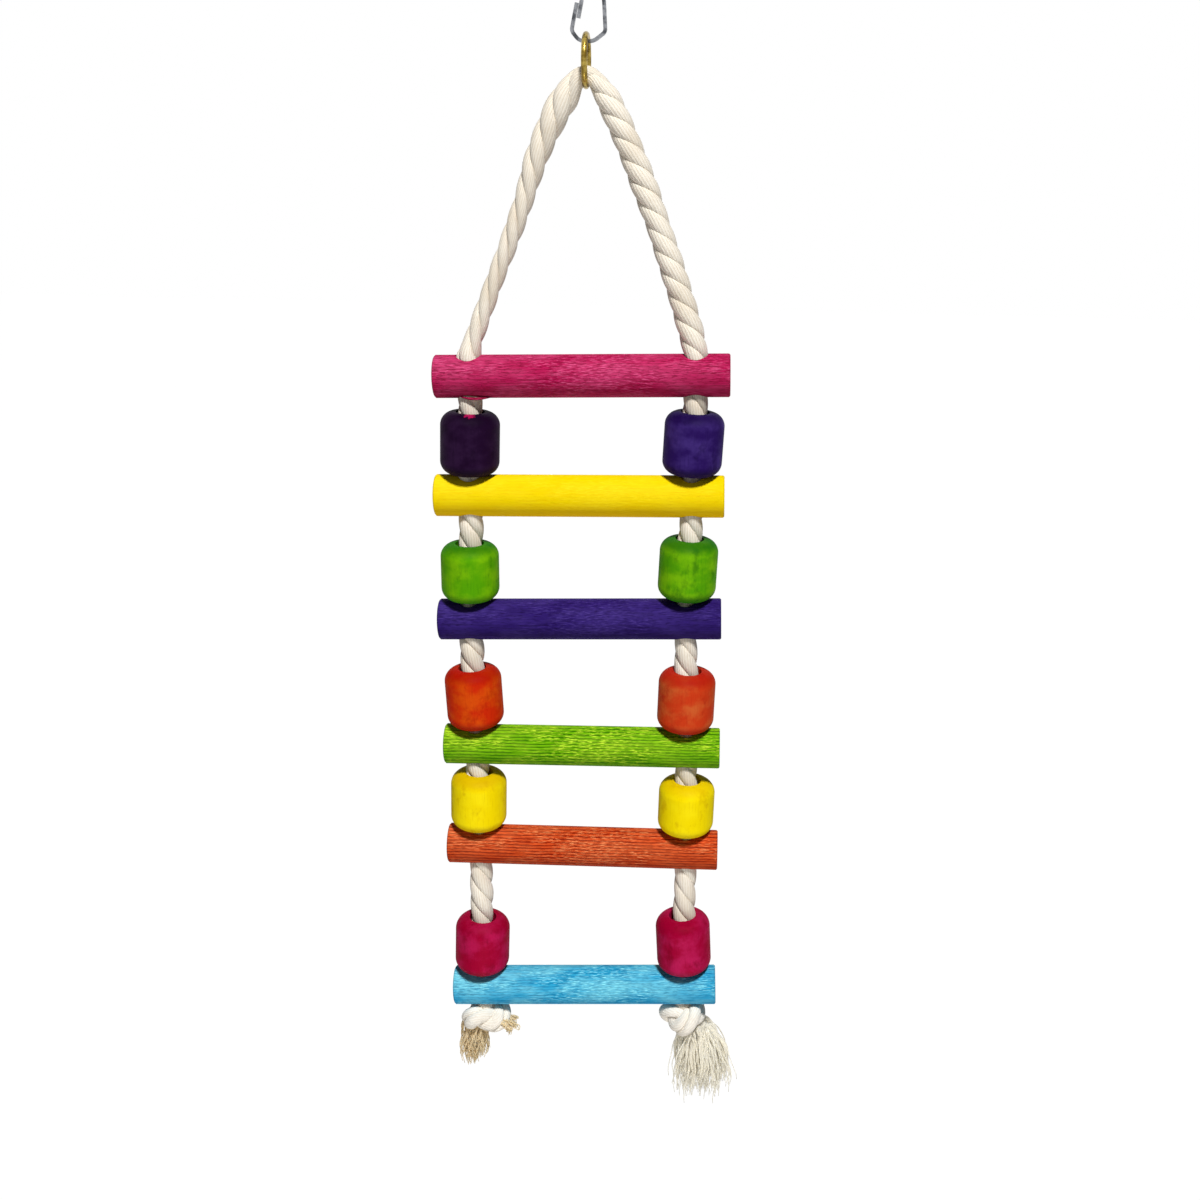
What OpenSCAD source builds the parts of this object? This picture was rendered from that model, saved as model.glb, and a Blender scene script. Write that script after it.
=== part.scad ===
// Rope ladder swing for small cage birds. Six dyed wooden rungs are threaded on one laid cotton
// rope, which passes over a brass ring and ends below the lowest rung in two stopper knots with
// frayed tails. Five pairs of loose wooden beads ride on the rope between the rungs.
// Sizes are in millimetres. The origin is the inside top of the hanging clip, +Z is up, the
// rungs lie along X and the front faces -Y. The rope runs in the plane Y = 0.

/* [Rungs] */
// Length of each rung
rung_l = 120; // [112:1:150]
// Diameter of each rung
rung_d = 17.5; // [16:0.5:20]
// Distance from each end of a rung to the middle of its rope hole
hole_inset = 14; // [13:0.5:20]
// Bevel round the ends of a rung
rung_bevel = 0.5; // [0.2:0.1:1.5]
// Drop from each rung to the next, from the top rung down
rung_drop = [50.1, 54, 58.6, 48.8, 70.8]; // [46:0.1:90]
// Sideways place of each rung, measured from the plumb line under the ring
rung_side = [-1.1, -1.9, -1.5, -0.3, 0.2, 1.4]; // [-3:0.1:3]
// Tilt of each rung in degrees, the left end low
rung_tilt = [1.6, 1.3, 1.9, 1, 0.6, 2.8]; // [-4:0.1:4]
// Sideways slip of the hand-drilled pair of holes in each rung
hole_slip = [0, 0.5, -1, -0.6, 0, -0.8]; // [-1.5:0.1:1.5]

/* [Rope] */
// Diameter of the rope over its three strands
rope_d = 10; // [8:0.25:10.5]
// Length of rope in which a strand goes once round
rope_lay = 32; // [26:1:44]
// Depth of the groove between two strands, as a share of the rope's radius
strand_groove = 0.22; // [0.1:0.02:0.3]
// Clearance of the rope in a rung, on the radius
rung_fit = 0.25; // [0.2:0.05:0.6]
// Drop from the ring's lowest wire to the middle of the top rung
top_drop = 111.6; // [95:0.1:150]
// Thickness of the rope where the ring squeezes it
pinch_t = 5.6; // [5:0.2:7]
// Angle between each leg and the plumb line as it leaves the ring, left and right
leg_angle = [40, 46]; // [25:1:48]
// How far each leg keeps that angle before it bends down, left and right
leg_run = [21, 18]; // [8:1:32]
// How far above the top rung each leg is upright, left and right
leg_stand = [4, 7]; // [4:1:18]

/* [Stopper knots] */
// Thickness of the rope pulled tight in a knot
knot_rope_d = 8; // [6:0.2:9]
// Width of the left and right knots
knot_w = [23, 22]; // [20:0.5:26]
// Height of the left and right knots
knot_h = [12, 13]; // [10:0.5:15]
// Turn of each knot about the rope, in degrees
knot_turn = [66, 14]; // [0:1:120]
// Length of the left and right frayed tails below their knots
tail_l = [24, 41]; // [15:1:60]
// Width of the left and right frayed tails at their ends
tail_w = [18, 27]; // [12:1:32]
// How far each frayed tail swings to the right at its end
tail_lean = [-1, 10]; // [-8:1:14]

/* [Beads] */
// Diameter of a bead
bead_d = 24.5; // [23:0.5:28]
// Height of each left bead, from the top bead down
bead_h_left = [26, 24.5, 26.5, 26, 26]; // [22:0.5:27]
// Height of each right bead, from the top bead down
bead_h_right = [26, 26, 26.5, 24.5, 27]; // [22:0.5:27]
// Radius of the bead's rounded shoulders
bead_round = 5.5; // [2:0.5:6]
// Clearance of the rope in a bead, on the radius
bead_fit = 1; // [1:0.1:1.4]
// Lean of each left bead on the rope in degrees, from the top bead down
lean_left = [-0.1, 2.7, 1.7, -2.6, -1.7]; // [-3.6:0.1:3.6]
// Lean of each right bead on the rope in degrees, from the top bead down
lean_right = [-1.2, 0.4, -3.1, -2.7, 3.6]; // [-3.6:0.1:3.6]
// Gap between a bead and the rung that it rests on
bead_seat = 0.3; // [0.2:0.1:0.6]

/* [Ring] */
// Outer diameter of the ring
ring_od = 21; // [20.5:0.5:26]
// Wire diameter of the ring
ring_wire = 2.4; // [1.8:0.1:2.6]
// Width of the cut where the ring's wire ends meet
ring_cut = 0.3; // [0.2:0.1:0.8]
// Place of the cut round the ring, in degrees from its top
ring_cut_turn = 40; // [0:5:120]
// Clearance between the ring and the rope
ring_fit = 0.3; // [0.2:0.05:0.5]

/* [Clip] */
// Thickness of the clip's spring strip
clip_t = 1.4; // [1:0.1:1.6]
// Width of the clip's spring strip
clip_w = 1.8; // [1.4:0.1:2.2]
// Height inside the clip
clip_h = 26; // [25:0.5:34]
// Sideways place where the ring hangs in the clip
ring_x = -1; // [-1.5:0.1:0]
// Clearance between the ring and the corners of the strip as the ring swings
clip_fit = 0.05; // [0.05:0.05:0.2]

/* [Hidden] */
$fn = 96;
LEFT = 0;
RIGHT = 1;
side_sign = [-1, 1];

// Clip and ring, from the hanging point down
strip_corner_d = norm([clip_t, clip_w]);  // circle through the corners of the strip's section
strip_z = -clip_h - clip_t / 2;           // middle of the strip that carries the ring
ring_r = (ring_od - ring_wire) / 2;
ring_z = strip_z + strip_corner_d / 2 + clip_fit - (ring_r - ring_wire / 2);
wire_z = ring_z - ring_r;                 // middle of the ring's lowest wire

// Ladder
rung_r = rung_d / 2;
hole_pitch = rung_l - 2 * hole_inset;
rope_r = rope_d / 2;
top_z = wire_z - top_drop;
function sum_to(list, n, i = 0) = i >= n ? 0 : list[i] + sum_to(list, n, i + 1);
rung_x = [for (i = [0:5]) ring_x + rung_side[i]];
rung_z = [for (i = [0:5]) top_z - sum_to(rung_drop, i)];
bead_lean = [lean_left, lean_right];
bead_h = [bead_h_left, bead_h_right];

// Points in the plane of the ladder are [x, z]
function turned(p, a) = [p[0] * cos(a) - p[1] * sin(a), p[0] * sin(a) + p[1] * cos(a)];
function heading(p, q) = atan2(q[1] - p[1], q[0] - p[0]);
// A point on the hole's axis in rung i, at height w above the middle of the rung
function in_hole(i, side, w) =
  [rung_x[i], rung_z[i]] + turned([side_sign[side] * hole_pitch / 2 + hole_slip[i], w], rung_tilt[i]);

// Beads: row 0 is between rungs 0 and 1
function line_angle(row, side) =
  heading(in_hole(row + 1, side, rung_r), in_hole(row, side, -rung_r)) - 90;
function bead_angle(row, side) = line_angle(row, side) + bead_lean[side][row];
// Height of a bead's middle above the hole that it rests on
function bead_rise(row, side) =
  let (a = bead_angle(row, side) - rung_tilt[row + 1])
  bead_seat + (bead_h[side][row] / 2 - bead_round) * cos(a) + bead_round
  + (bead_d / 2 - bead_round) * sin(abs(a));
function bead_middle(row, side) =
  in_hole(row + 1, side, rung_r) + turned([0, bead_rise(row, side)], line_angle(row, side));

// Rope route, from the left knot up over the ring and down to the right knot. Each point is
// [x, z, pinch], where pinch is 1 at the ring and 0 where the rope keeps its full diameter.
step = rope_lay / 10;
pinch_r = pinch_t / 2;
bend_r = ring_wire / 2 + ring_fit + pinch_r;
pinch_run = 14;
function straight(p, q) =
  let (n = ceil(norm(q - p) / step)) [for (k = [0:n - 1]) concat(p + (q - p) * k / n, 0)];
function side_line(side) =
  concat(
    straight(in_hole(5, side, -rung_r - knot_h[side] / 2), in_hole(5, side, -rung_r)),
    [for (i = [5:-1:0], p = concat(
      straight(in_hole(i, side, -rung_r), in_hole(i, side, rung_r)),
      i > 0 ? straight(in_hole(i, side, rung_r), in_hole(i - 1, side, -rung_r)) : [])) p]
  );
function leg_top(side) =
  [ring_x + side_sign[side] * bend_r * cos(leg_angle[side]), wire_z + bend_r * sin(leg_angle[side])];
function leg_bend(side, t) =
  let (
    p0 = in_hole(0, side, rung_r),
    p1 = in_hole(0, side, rung_r + leg_stand[side]),
    p3 = leg_top(side),
    p2 = p3 + leg_run[side] * [side_sign[side] * sin(leg_angle[side]), -cos(leg_angle[side])]
  )
  p0 * pow(1 - t, 3) + p1 * 3 * t * pow(1 - t, 2) + p2 * 3 * t * t * (1 - t) + p3 * pow(t, 3);
function leg(side) =
  let (n = ceil(norm(leg_top(side) - in_hole(0, side, rung_r)) / step))
  [for (k = [0:n - 1]) let (p = leg_bend(side, k / n))
    concat(p, max(0, 1 - norm(p - leg_top(side)) / pinch_run))];
function over_ring() =
  let (a0 = 180 - leg_angle[LEFT], a1 = leg_angle[RIGHT], n = 6)
  [for (k = [0:n]) let (a = a0 + (a1 - a0) * k / n)
    [ring_x + bend_r * cos(a), wire_z + bend_r * sin(a), 1]];
function reversed(list) = [for (i = [len(list) - 1:-1:0]) list[i]];
route = concat(side_line(LEFT), leg(LEFT), over_ring(), reversed(leg(RIGHT)), reversed(side_line(RIGHT)));

// Cross-section of the laid rope: three lobes, four points to a lobe
lobe_points = 4;
lobe_half = 60;
function lobe(a) = 1 - strand_groove * pow(abs(a) / lobe_half, 2);
function laid_ring(p, along, pinch, twist) =
  let (
    across = [sin(along), -cos(along)],
    thick = rope_r + (pinch_r - rope_r) * pinch
  )
  [for (k = [0:3 * lobe_points - 1])
    let (
      a = 2 * k * lobe_half / lobe_points,
      r = lobe((a + lobe_half) % (2 * lobe_half) - lobe_half),
      u = across * thick * r * cos(a + twist)
    )
    [p[0] + u[0], rope_r * r * sin(a + twist), p[1] + u[1]]];
function run_lengths(pts) =
  let (d = [for (i = [1:len(pts) - 1]) norm(pts[i] - pts[i - 1])])
  [for (s = 0, i = 0; i <= len(d); s = s + (i < len(d) ? d[i] : 0), i = i + 1) s];
function flat(p) = [p[0], p[1]];

// A closed solid through a list of equal rings of points
module skin(rings) {
  n = len(rings[0]);
  last = len(rings) - 1;
  polyhedron(
    points = [for (r = rings, p = r) p],
    faces = concat(
      [[for (k = [0:n - 1]) k]],
      [[for (k = [n - 1:-1:0]) last * n + k]],
      [for (i = [0:last - 1], k = [0:n - 1]) [i * n + k, (i + 1) * n + k, i * n + (k + 1) % n]],
      [for (i = [0:last - 1], k = [0:n - 1]) [i * n + (k + 1) % n, (i + 1) * n + k, (i + 1) * n + (k + 1) % n]]
    )
  );
}

module laid_rope() {
  pts = [for (p = route) flat(p)];
  run = run_lengths(pts);
  last = len(route) - 1;
  skin([for (i = [0:last])
    laid_ring(pts[i], heading(pts[max(i - 1, 0)], pts[min(i + 1, last)]), route[i][2],
      -360 * run[i] / rope_lay)]);
}

// An overhand knot pulled flat, as a tight rope that crosses itself three times round a core
module stopper_knot(side) {
  knot_r = knot_rope_d / 2;
  coil = (knot_w[side] / 2 - knot_r) / 3;
  climb = knot_h[side] / 2 - knot_r;
  steps = 27;
  function at(k) =
    let (t = 360 * k / steps)
    [coil * (sin(t) + 2 * sin(2 * t)), coil * (cos(t) - 2 * cos(2 * t)), -climb * sin(3 * t)];
  for (k = [0:steps - 1])
    hull() {
      translate(at(k)) sphere(r = knot_r, $fn = 10);
      translate(at(k + 1)) sphere(r = knot_r, $fn = 10);
    }
}

// Untwisted yarns below a knot: a fluted brush that widens and ends unevenly
module frayed_tail(side) {
  flutes = 9;
  stations = 7;
  skin([for (i = [0:stations]) let (f = i / stations)
    [for (k = [0:2 * flutes - 1])
      let (
        a = 180 * k / flutes,
        r = (knot_rope_d / 2 + (tail_w[side] / 2 - knot_rope_d / 2) * sin(90 * f)) * (k % 2 == 0 ? 1 : 0.8),
        ragged = i == stations ? 0.12 * sin(a * 4 + 70 * side) + 0.06 * sin(a * 7) : 0
      )
      [r * cos(a) + tail_lean[side] * f * f, -0.8 * r * sin(a), -tail_l[side] * (f + ragged)]]]);
}

module rope() {
  color("antiquewhite") {
    laid_rope();
    for (side = [LEFT, RIGHT]) {
      foot = in_hole(5, side, -rung_r - rung_fit - knot_h[side] / 2);
      translate([foot[0], 0, foot[1]]) {
        rotate([0, -rung_tilt[5], knot_turn[side]]) stopper_knot(side);
        frayed_tail(side);
      }
    }
  }
}

module rung(i, dye) {
  color(dye)
    translate([rung_x[i], 0, rung_z[i]])
      rotate([0, -rung_tilt[i], 0])
        difference() {
          rotate([0, 90, 0])
            rotate_extrude()
              polygon([
                [0, -rung_l / 2], [rung_r - rung_bevel, -rung_l / 2], [rung_r, -rung_l / 2 + rung_bevel],
                [rung_r, rung_l / 2 - rung_bevel], [rung_r - rung_bevel, rung_l / 2], [0, rung_l / 2]
              ]);
          for (side = side_sign)
            translate([side * hole_pitch / 2 + hole_slip[i], 0, 0])
              cylinder(r = rope_r + rung_fit, h = rung_d + 2, center = true);
        }
}

// Half section of a bead, with large rounded shoulders and a straight rope hole
module bead_section(height) {
  bore_r = rope_r + bead_fit;
  shoulder_r = bead_d / 2 - bead_round;
  shoulder_z = height / 2 - bead_round;
  translate([bore_r, -height / 2]) square([shoulder_r - bore_r, height]);
  translate([bore_r, -shoulder_z]) square([bead_d / 2 - bore_r, 2 * shoulder_z]);
  for (z = [-shoulder_z, shoulder_z])
    translate([shoulder_r, z])
      intersection() {
        circle(r = bead_round);
        translate([0, -bead_round]) square([bead_round, 2 * bead_round]);
      }
}

module bead(row, side, dye) {
  middle = bead_middle(row, side);
  color(dye)
    translate([middle[0], 0, middle[1]])
      rotate([0, -bead_angle(row, side), 0])
        rotate_extrude() bead_section(bead_h[side][row]);
}

module ring() {
  color("goldenrod")
    translate([ring_x, 0, ring_z])
      difference() {
        rotate([0, 90, 0]) rotate_extrude() translate([ring_r, 0]) circle(d = ring_wire);
        rotate([ring_cut_turn, 0, 0])
          translate([0, 0, ring_r])
            cube([2 * ring_wire, ring_cut, 2 * ring_wire], center = true);
      }
}

// Middle line of the clip's strip as [x, z, bend radius], from the inner tongue over the top,
// down the back, along the foot that carries the ring, and up to the outer catch
clip_route = [
  [-4.0, strip_z + 8.1, 0],
  [-2.5, strip_z + 15.9, 8],
  [-3.1, clip_t / 2, 3],
  [3.1, clip_t / 2, 3],
  [5.7, strip_z + 14.2, 18],
  [6.3, strip_z + 3.4, 2.2],
  [1.9, strip_z, 5],
  [-3.6, strip_z, 4],
  [-6.6, strip_z + 3.6, 2.6],
  [-4.6, strip_z + 13.6, 0]
];

// Points along the strip's middle line, each as [x, z, heading]
function clip_points() =
  let (
    last = len(clip_route) - 1,
    at = [for (p = clip_route) flat(p)],
    head = [for (i = [0:last - 1]) heading(at[i], at[i + 1])],
    steps = 8
  )
  concat(
    [concat(at[0], head[0])],
    [for (i = [1:last - 1])
      let (
        turn = (head[i] - head[i - 1] + 540) % 360 - 180,
        r = clip_route[i][2],
        start = at[i] - r * tan(abs(turn) / 2) * [cos(head[i - 1]), sin(head[i - 1])],
        middle = start + r * sign(turn) * [-sin(head[i - 1]), cos(head[i - 1])]
      )
      for (k = [0:steps])
        let (h = head[i - 1] + turn * k / steps)
        concat(middle + r * sign(turn) * [sin(h), -cos(h)], h)],
    [concat(at[last], head[last - 1])]
  );

module clip() {
  line = clip_points();
  function offset_line(d) = [for (p = line) [p[0] - d * sin(p[2]), p[1] + d * cos(p[2])]];
  color("silver")
    rotate([90, 0, 0])
      linear_extrude(clip_w, center = true)
        polygon(concat(offset_line(clip_t / 2), reversed(offset_line(-clip_t / 2))));
}

clip();
ring();
rope();
rung(0, "mediumvioletred");  // rung_1_magenta
rung(1, "gold");  // rung_2_yellow
rung(2, "darkslateblue");  // rung_3_purple
rung(3, "yellowgreen");  // rung_4_green
rung(4, "orangered");  // rung_5_orange
rung(5, "deepskyblue");  // rung_6_blue
bead(0, LEFT, "indigo");  // bead_1_left_plum
bead(0, RIGHT, "darkslateblue");  // bead_1_right_violet
bead(1, LEFT, "limegreen");  // bead_2_left_green
bead(1, RIGHT, "limegreen");  // bead_2_right_green
bead(2, LEFT, "orangered");  // bead_3_left_red
bead(2, RIGHT, "tomato");  // bead_3_right_red
bead(3, LEFT, "yellow");  // bead_4_left_yellow
bead(3, RIGHT, "yellow");  // bead_4_right_yellow
bead(4, LEFT, "crimson");  // bead_5_left_crimson
bead(4, RIGHT, "crimson");  // bead_5_right_crimson
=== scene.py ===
# %% [markdown]
# # A rope ladder swing for small cage birds
# Six dyed wooden rungs are threaded on one cotton rope, with loose wooden beads between them. The
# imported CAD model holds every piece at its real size. This script gives the pieces their finish:
# dyed and turned wood, plated spring steel and brass, and it lays the rope again, strand by strand.

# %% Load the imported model
import math
import random
import bpy
import numpy as np
from mathutils import Matrix, Vector


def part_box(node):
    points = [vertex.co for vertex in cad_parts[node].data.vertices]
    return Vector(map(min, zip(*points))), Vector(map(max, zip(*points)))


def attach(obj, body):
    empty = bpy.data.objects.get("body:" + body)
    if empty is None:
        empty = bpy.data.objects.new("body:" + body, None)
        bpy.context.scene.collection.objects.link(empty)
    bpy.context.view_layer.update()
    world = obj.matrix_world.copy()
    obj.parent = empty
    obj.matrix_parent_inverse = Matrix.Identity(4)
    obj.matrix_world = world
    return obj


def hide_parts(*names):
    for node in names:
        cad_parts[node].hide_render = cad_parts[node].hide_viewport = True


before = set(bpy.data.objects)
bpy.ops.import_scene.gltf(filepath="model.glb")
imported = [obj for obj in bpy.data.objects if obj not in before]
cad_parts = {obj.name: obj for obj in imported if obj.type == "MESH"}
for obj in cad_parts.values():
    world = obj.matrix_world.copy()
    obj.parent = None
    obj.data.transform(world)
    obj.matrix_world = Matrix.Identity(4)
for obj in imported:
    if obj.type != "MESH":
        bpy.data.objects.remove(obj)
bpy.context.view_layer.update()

MM = 0.001

# %% [markdown]
# ## The camera
# The photograph is taken from in front and a little to the right, with the lens about half a metre
# away. A close lens shows each rung from a different height: the top rungs nearly level, the bottom
# ones from above. So the camera's distance matters as much as its angle, and it stands where the
# edges of the rungs and beads fall as they do in the picture. The picture was cropped off centre,
# which the lens shift repeats.

# %% Camera
CAMERA_AT = Vector((49.27, -586.0, -54.94)) * MM
TURN, TILT, ROLL = (math.radians(a) for a in (2.60, 16.96, 0.93))
SENSOR = 36
PICTURE_PIXELS = 1200
FOCAL_PIXELS = 1459.7
SHIFT_PIXELS = (-40, -35)


def camera_axes():
    """The camera's right, up and forward directions, from its turn, downward tilt and roll."""
    ahead = Vector((-math.sin(TURN) * math.cos(TILT), math.cos(TURN) * math.cos(TILT), -math.sin(TILT)))
    right = Vector((math.cos(TURN), math.sin(TURN), 0))
    up = right.cross(ahead)
    rolled_right = math.cos(ROLL) * right + math.sin(ROLL) * up
    rolled_up = math.cos(ROLL) * up - math.sin(ROLL) * right
    return rolled_right, rolled_up, ahead


right, up, ahead = camera_axes()
lens = bpy.data.cameras.new("camera")
lens.sensor_width = SENSOR
lens.lens = SENSOR * (FOCAL_PIXELS / PICTURE_PIXELS)
lens.shift_x, lens.shift_y = (pixels / PICTURE_PIXELS for pixels in SHIFT_PIXELS)
lens.clip_start = 0.01
camera = bpy.data.objects.new("camera", lens)
bpy.context.scene.collection.objects.link(camera)
camera.matrix_world = Matrix.Translation(CAMERA_AT) @ Matrix((right, up, -ahead)).transposed().to_4x4()
bpy.context.scene.camera = camera
print("camera lens", round(lens.lens, 2), "mm")

# %% [markdown]
# ## Floor, backdrop and light
# The toy hangs in front of plain white. A wide pale floor lies well below it and keeps its shadow.
# Both floor and world show white to the camera and to reflections through Light Path, so that the
# lamps can stay at the level at which a dye looks as dark as it is. One large lamp hangs above and in
# front, because each bead throws a dark arc on the rung below. A broad weak one fills the shadows,
# and a small one from below lights the frayed ends.

# %% Floor and world
FLOOR_Z = -1.6
FLOOR_HALF = 12
FLOOR_TONE = (0.92, 0.92, 0.92, 1)
FLOOR_GLOW, GLOW_SHARE = 1.08, 0.92
WORLD_LIGHT = 0.07


def seen_directly(tree):
    """A mask that is 1 for the camera, for mirror reflections and for light seen through glass."""
    path = tree.nodes.new("ShaderNodeLightPath")
    first = tree.nodes.new("ShaderNodeMath")
    first.operation = "MAXIMUM"
    tree.links.new(path.outputs["Is Camera Ray"], first.inputs[0])
    tree.links.new(path.outputs["Is Glossy Ray"], first.inputs[1])
    both = tree.nodes.new("ShaderNodeMath")
    both.operation = "MAXIMUM"
    tree.links.new(first.outputs[0], both.inputs[0])
    tree.links.new(path.outputs["Is Transmission Ray"], both.inputs[1])
    return both.outputs[0]


def white_world():
    world = bpy.data.worlds.new("studio")
    world.use_nodes = True
    tree = world.node_tree
    background = tree.nodes["Background"]
    background.inputs["Color"].default_value = (1, 1, 1, 1)
    level = tree.nodes.new("ShaderNodeMapRange")
    tree.links.new(seen_directly(tree), level.inputs["Value"])
    level.inputs["To Min"].default_value = WORLD_LIGHT
    level.inputs["To Max"].default_value = 1.0
    tree.links.new(level.outputs["Result"], background.inputs["Strength"])
    bpy.context.scene.world = world


def white_floor():
    material = bpy.data.materials.new("studio_floor")
    material.use_nodes = True
    tree = material.node_tree
    surface = tree.nodes["Principled BSDF"]
    surface.inputs["Base Color"].default_value = FLOOR_TONE
    surface.inputs["Roughness"].default_value = 0.9
    glow = tree.nodes.new("ShaderNodeEmission")
    glow.inputs["Strength"].default_value = FLOOR_GLOW
    mix = tree.nodes.new("ShaderNodeMixShader")
    share = tree.nodes.new("ShaderNodeMath")
    share.operation = "MULTIPLY"
    share.inputs[1].default_value = GLOW_SHARE
    tree.links.new(seen_directly(tree), share.inputs[0])
    tree.links.new(share.outputs[0], mix.inputs["Fac"])
    tree.links.new(surface.outputs[0], mix.inputs[1])
    tree.links.new(glow.outputs[0], mix.inputs[2])
    tree.links.new(mix.outputs[0], tree.nodes["Material Output"].inputs["Surface"])
    mesh = bpy.data.meshes.new("floor")
    h = FLOOR_HALF
    corners = [(-h, -h, FLOOR_Z), (h, -h, FLOOR_Z), (h, h, FLOOR_Z), (-h, h, FLOOR_Z)]
    mesh.from_pydata(corners, [], [(0, 1, 2, 3)])
    mesh.materials.append(material)
    floor = bpy.data.objects.new("floor", mesh)
    bpy.context.scene.collection.objects.link(floor)


white_world()
white_floor()
print("floor at", FLOOR_Z, "m, under a white world")

# %% Lamps
LADDER_MIDDLE = (0, 0, -0.28)
FRAYED_ENDS = (0, 0, -0.48)


def lamp(name, place, target, size, power):
    """A square soft lamp at a place, facing a target."""
    light = bpy.data.lights.new(name, "AREA")
    light.size = size
    light.energy = power
    obj = bpy.data.objects.new(name, light)
    obj.location = place
    obj.rotation_euler = (Vector(target) - Vector(place)).to_track_quat("-Z", "Y").to_euler()
    bpy.context.scene.collection.objects.link(obj)


lamp("key_above", (0.40, -1.56, 2.22), LADDER_MIDDLE, 0.36, 102)
lamp("fill_front", (-0.4, -1.4, 0.1), LADDER_MIDDLE, 1.2, 1.3)
lamp("fill_low", (0.05, -0.45, -1.05), FRAYED_ENDS, 0.3, 2.4)
bpy.context.scene.view_settings.view_transform = "Standard"
print("lamps:", len(bpy.data.lights))

# %% [markdown]
# ## Small helpers for shader nodes and meshes
# A finish is a chain of shader nodes. One helper adds a node and fills its inputs with either a
# number or a link, which keeps a chain short to read. The ones after it name the steps used most:
# a sum, a blend of two colours, a stretched noise and a soft step.

# %% Colours and shader nodes
def paint(red, green, blue):
    """A colour given as it looks on screen, 0 to 255, turned into the linear one that Blender mixes."""
    def linear(c):
        c = c / 255
        return c / 12.92 if c <= 0.04045 else ((c + 0.055) / 1.055) ** 2.4
    return (linear(red), linear(green), linear(blue), 1.0)


def add(tree, kind, options=None, **inputs):
    """Adds a shader node. Each input, such as Scale or _0 for the first, takes a value or a link."""
    made = tree.nodes.new("ShaderNode" + kind)
    for name, value in (options or {}).items():
        setattr(made, name, value)
    for name, value in inputs.items():
        socket = made.inputs[int(name[1:])] if name[0] == "_" else made.inputs[name.replace("_", " ")]
        if isinstance(value, bpy.types.NodeSocket):
            tree.links.new(value, socket)
        else:
            socket.default_value = value
    return made


def maths(tree, operation, a, b=0.0, c=0.0):
    """The result of one sum on values or links."""
    return add(tree, "Math", {"operation": operation}, _0=a, _1=b, _2=c).outputs[0]


def blend_colours(tree, share, a, b, how="MIX"):
    """Colour a turned into colour b by a share from 0 to 1."""
    node = add(tree, "Mix", {"data_type": "RGBA", "blend_type": how}, _0=share, _6=a, _7=b)
    return node.outputs[2]


def stretch(tree, place, scale, shift=(0, 0, 0)):
    """The place, scaled on each axis, so that one noise makes streaks along a piece."""
    return add(tree, "Mapping", None, Vector=place, Scale=scale, Location=shift).outputs[0]


def noise(tree, place, scale=1.0, detail=3.0, rough=0.5):
    """Soft random values from 0 to 1, finer with more detail."""
    node = add(tree, "TexNoise", None, Vector=place, Scale=scale, Detail=detail, Roughness=rough)
    return node.outputs["Fac"]


def ramp(tree, value, low, high, to_low=0.0, to_high=1.0):
    """A soft step from one value to another as the input goes from low to high."""
    node = add(tree, "MapRange", {"interpolation_type": "SMOOTHSTEP"}, Value=value)
    for name, number in (("From Min", low), ("From Max", high), ("To Min", to_low), ("To Max", to_high)):
        node.inputs[name].default_value = number
    return node.outputs["Result"]


print("node helpers ready, mid grey is", round(paint(128, 128, 128)[0], 3))

# %% Groups and materials
def new_group(name, inputs, outputs):
    """An empty node group with named sockets: (name, kind, value at the start)."""
    tree = bpy.data.node_groups.new(name, "ShaderNodeTree")
    for socket, kind, value in inputs:
        made = tree.interface.new_socket(socket, in_out="INPUT", socket_type="NodeSocket" + kind)
        if value is not None:
            made.default_value = value
    for socket, kind in outputs:
        tree.interface.new_socket(socket, in_out="OUTPUT", socket_type="NodeSocket" + kind)
    return tree, tree.nodes.new("NodeGroupInput").outputs, tree.nodes.new("NodeGroupOutput").inputs


def place_in(tree, group, **inputs):
    """A node group placed in a material, with this material's own values."""
    made = tree.nodes.new("ShaderNodeGroup")
    made.node_tree = group
    for name, value in inputs.items():
        socket = made.inputs[name]
        if isinstance(value, bpy.types.NodeSocket):
            tree.links.new(value, socket)
        else:
            socket.default_value = value
    return made


def new_material(name, **sockets):
    """A material with its shader's own even values set, and its node tree and shader to build on."""
    material = bpy.data.materials.new(name)
    material.use_nodes = True
    shader = material.node_tree.nodes["Principled BSDF"]
    for socket, value in sockets.items():
        shader.inputs[socket.replace("_", " ")].default_value = value
    return material, material.node_tree, shader


def bump(tree, shader, height, depth):
    """Raises the surface by a height from 0 to 1, up to a depth in metres."""
    node = add(tree, "Bump", None, Strength=1.0, Distance=depth, Height=height)
    tree.links.new(node.outputs["Normal"], shader.inputs["Normal"])


print("group and material helpers ready")

# %% [markdown]
# The soft pieces are tubes swept along a line. One function joins rings of points into a closed skin
# and keeps two texture coordinates on it: how far along the line, and how far round it. Another makes
# the mesh object and lets it ride on a body of the model, so that it moves with the joints.

# %% Mesh pieces
def new_piece(name, points, faces, material, body, uv=None):
    """A smooth mesh piece that rides on a body. uv holds a pair for each corner of each face."""
    mesh = bpy.data.meshes.new(name)
    mesh.from_pydata([tuple(p) for p in points], [], faces)
    if uv is not None:
        mesh.uv_layers.new(name="along_round").data.foreach_set("uv", np.asarray(uv, float).ravel())
    mesh.polygons.foreach_set("use_smooth", [True] * len(mesh.polygons))
    mesh.materials.append(material)
    obj = bpy.data.objects.new(name, mesh)
    bpy.context.scene.collection.objects.link(obj)
    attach(obj, body)
    return obj


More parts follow.
